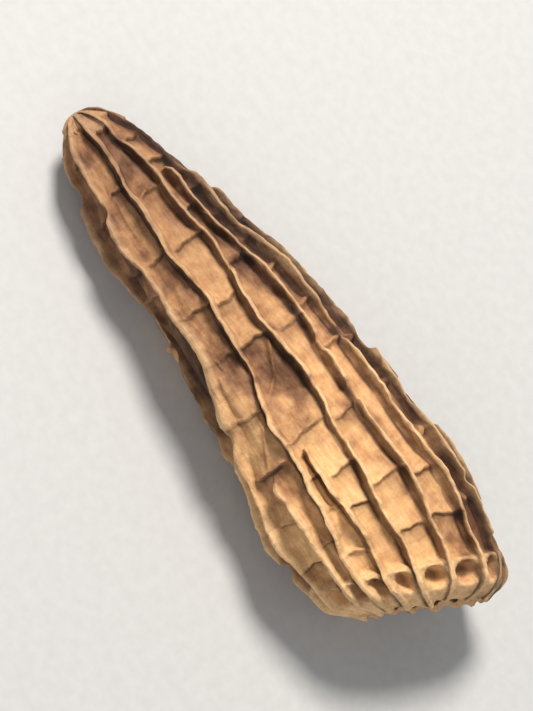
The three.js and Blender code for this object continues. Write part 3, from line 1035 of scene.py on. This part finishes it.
# The flesh's colours as a screen shows them. The three lists run from browner to paler places.
PIT_TONES = [(0.0, (110, 74, 50)), (0.3, (164, 120, 84)), (0.6, (212, 163, 114)), (1.0, (240, 192, 136))]
HOLLOW_TONES = [(0.3, (160, 114, 76)), (0.7, (204, 158, 112))]
CUT_TONES = [(0.35, (214, 166, 116)), (0.65, (240, 200, 152))]
CREST_TONE = (241, 201, 150)
FIBRE_TONE = (186, 152, 120)
WRINKLE_TONE = (176, 136, 104)
THREAD_TONE = (240, 205, 165)
# The dark colour painted as shade and shadow in slits, gutters, cell middles and the flank
PAINTED_SHADE_TONE = (64, 40, 27)
GRAIN_TONE = (150, 110, 84)
# The grey-brown painted as shade towards the tip
TIP_SHADE_TONE = (182, 172, 178)
# Where the painted shade darkens the cap towards its tip, in metres along X
TIPWARD = (0.006, -0.02)


def screen_stops(tones):
    return [(at, srgb(colour)) for at, colour in tones]


def flesh_noises(n, where):
    """Fibres and threads along the cap, wrinkles across it, and spots from fine grain to broad patches"""
    return {
        "fibres": n.noise(n.stretch(where, (0.22, 1, 1)), 3000, 3),
        "threads": n.noise(n.stretch(where, (0.1, 1, 1)), 1300, 2),
        "wrinkles": n.noise(n.stretch(where, (1, 0.5, 0.5)), 1500, 4, 0.6),
        "grain": n.noise(where, 5200, 3, 0.7),
        "patches": n.noise(where, 130, 3),
        "blotches": n.noise(where, 520, 3),
    }


def outside_colour(n, where, noises):
    """Brown to pale gold pits by tones, pale crests, fibre and wrinkle stains, painted shade and shadow"""
    blotches = noises["blotches"]
    tones = n.maths("MULTIPLY", n.attribute("tone"), 0.38)
    tones = n.maths("ADD", tones, n.remap(noises["patches"], 0.3, 0.7, 0.22, 0.82))
    tones = n.maths("ADD", tones, n.remap(blotches, 0.3, 0.7, -0.22, 0.22), clamp=True)
    colour = n.ramp(tones, screen_stops(PIT_TONES))
    # Raised places are mixed paler: partly the ridges' own colour, partly painted shade in the pits
    height = n.maths("ADD", n.attribute("raised"), n.remap(blotches, 0.3, 0.7, -0.12, 0.12), clamp=True)
    colour = n.blend("MIX", n.remap(height, 0.45, 1.0, 0, 0.75), colour, srgb(CREST_TONE))
    fibres = n.remap(noises["fibres"], 0.4, 0.62, 0.26, 0)
    colour = n.blend("MULTIPLY", fibres, colour, srgb(FIBRE_TONE))
    wrinkles = n.remap(noises["wrinkles"], 0.36, 0.5, 0.22, 0)
    colour = n.blend("MULTIPLY", wrinkles, colour, srgb(WRINKLE_TONE))
    threads = n.remap(noises["threads"], 0.56, 0.72, 0, 0.08)
    colour = n.blend("SCREEN", threads, colour, srgb(THREAD_TONE))
    # Painted shade and shadow: the shade mask is multiplied dark
    shade = n.maths("MULTIPLY", n.attribute("shade"), 0.95)
    colour = n.blend("MULTIPLY", shade, colour, srgb(PAINTED_SHADE_TONE))
    grain = n.remap(noises["grain"], 0.6, 0.72, 0, 0.35)
    colour = n.blend("MULTIPLY", grain, colour, srgb(GRAIN_TONE))
    # Painted shade: the cap is darkened towards its tip
    along = n.add("ShaderNodeSeparateXYZ")
    n.link(where, along.inputs["Vector"])
    tipward = n.remap(along.outputs["X"], *TIPWARD, 0, 0.8)
    return n.blend("MULTIPLY", tipward, colour, srgb(TIP_SHADE_TONE))


def flesh_colour(n, where, noises):
    """The outside's colour, the hollow's and the cut face's"""
    cut = n.attribute("cut")
    hollow = n.ramp(noises["blotches"], screen_stops(HOLLOW_TONES))
    inside = n.maths("MULTIPLY", n.attribute("inside"), n.maths("SUBTRACT", 1.0, cut))
    colour = n.blend("MIX", inside, outside_colour(n, where, noises), hollow)
    pale = n.ramp(noises["grain"], screen_stops(CUT_TONES))
    return n.blend("MIX", n.maths("MULTIPLY", cut, 0.9), colour, pale)


def flesh_normal(n, noises):
    """Three layers of bumps, one over the other: fibres with grain, threads and wrinkles"""
    fibres = n.maths("MULTIPLY", noises["fibres"], 0.6)
    fine = n.maths("ADD", fibres, n.maths("MULTIPLY", noises["grain"], 0.4))
    normal = None
    for height, distance, strength in (
        (fine, 0.00018, 0.6),
        (noises["threads"], 0.0003, 0.4),
        (noises["wrinkles"], 0.0003, 0.4),
    ):
        bump = n.add("ShaderNodeBump")
        bump.inputs["Strength"].default_value = strength
        bump.inputs["Distance"].default_value = distance
        n.link(height, bump.inputs["Height"])
        if normal:
            n.link(normal, bump.inputs["Normal"])
        normal = bump.outputs["Normal"]
    return normal


def dried_flesh():
    material = bpy.data.materials.new("dried_morel_flesh")
    n = Nodes(material)
    where = n.add("ShaderNodeTexCoord").outputs["Object"]
    noises = flesh_noises(n, where)
    rough = n.remap(noises["fibres"], 0.3, 0.7, 0.9, 0.68)
    rough = n.maths("SUBTRACT", rough, n.maths("MULTIPLY", n.attribute("raised"), 0.12))
    shader = n.add("ShaderNodeBsdfPrincipled")
    n.link(flesh_colour(n, where, noises), shader.inputs["Base Color"])
    n.link(rough, shader.inputs["Roughness"])
    n.link(flesh_normal(n, noises), shader.inputs["Normal"])
    shader.inputs["Specular IOR Level"].default_value = 0.35
    output = n.add("ShaderNodeOutputMaterial")
    n.link(shader.outputs["BSDF"], output.inputs["Surface"])
    return material


SHEET_HALF = 1.5
SHEET_TONES = [(0.3, grey(0.55)), (0.7, grey(0.585))]


def floor_paper():
    material = bpy.data.materials.new("floor_paper")
    n = Nodes(material)
    where = n.add("ShaderNodeTexCoord").outputs["Object"]
    shader = n.add("ShaderNodeBsdfPrincipled")
    n.link(n.ramp(n.noise(where, 900, 2), SHEET_TONES), shader.inputs["Base Color"])
    shader.inputs["Roughness"].default_value = 0.85
    output = n.add("ShaderNodeOutputMaterial")
    n.link(shader.outputs["BSDF"], output.inputs["Surface"])
    return material


def pale_floor():
    """A plain pale sheet under the cap"""
    corners = [(-1, -1, 0), (1, -1, 0), (1, 1, 0), (-1, 1, 0)]
    mesh = bpy.data.meshes.new("floor")
    mesh.from_pydata([(x * SHEET_HALF, y * SHEET_HALF, z) for x, y, z in corners], [], [(0, 1, 2, 3)])
    mesh.materials.append(floor_paper())
    floor = bpy.data.objects.new("floor", mesh)
    bpy.context.scene.collection.objects.link(floor)


LIGHT_TARGET = (0, 0, 0.006)


def area_light(name, place, size, power, colour):
    data = bpy.data.lights.new(name, "AREA")
    data.shape = "DISK"
    data.size = size
    data.energy = power
    data.color = colour
    lamp = bpy.data.objects.new(name, data)
    lamp.location = place
    lamp.rotation_mode = "QUATERNION"
    lamp.rotation_quaternion = (Vector(LIGHT_TARGET) - Vector(place)).to_track_quat("-Z", "Y")
    bpy.context.scene.collection.objects.link(lamp)


def make_light():
    world = bpy.data.worlds.new("studio")
    world.use_nodes = True
    background = world.node_tree.nodes["Background"]
    background.inputs["Color"].default_value = (0.92, 0.96, 1.0, 1)
    background.inputs["Strength"].default_value = 0.33
    bpy.context.scene.world = world
    bpy.context.scene.view_settings.view_transform = "Standard"
    area_light("key", place=(-0.236, 0.136, 0.42), size=0.13, power=3.2, colour=(1, 0.95, 0.88))
    area_light("fill", place=(0.3, -0.35, 0.35), size=0.5, power=0.6, colour=(1, 0.96, 0.9))


# The camera looks straight at the ribbed face, which is tipped towards -Y, and is rolled so that the
# cap's tip points up and to the left
CAMERA_ELEVATION = 65
CAMERA_ROLL = 55.7
CAMERA_DISTANCE = 0.186
CAMERA_TARGET = (-0.0008, 0.0004, 0.0075)
CAMERA_LENS = 100
CAMERA_SENSOR = 36


def make_camera():
    data = bpy.data.cameras.new("camera")
    data.lens = CAMERA_LENS
    data.sensor_width = CAMERA_SENSOR
    camera = bpy.data.objects.new("camera", data)
    up = math.radians(CAMERA_ELEVATION)
    back = Vector((0, -math.cos(up), math.sin(up)))
    camera.location = Vector(CAMERA_TARGET) + back * CAMERA_DISTANCE
    camera.rotation_mode = "QUATERNION"
    roll = Quaternion((0, 0, 1), math.radians(CAMERA_ROLL))
    camera.rotation_quaternion = (-back).to_track_quat("-Z", "Y") @ roll
    bpy.context.scene.collection.objects.link(camera)
    bpy.context.scene.camera = camera


cap = build_cap()
cap.data.materials.append(dried_flesh())
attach(cap, "root")
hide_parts("morel_cap")
pale_floor()
make_light()
make_camera()

bpy.context.view_layer.update()
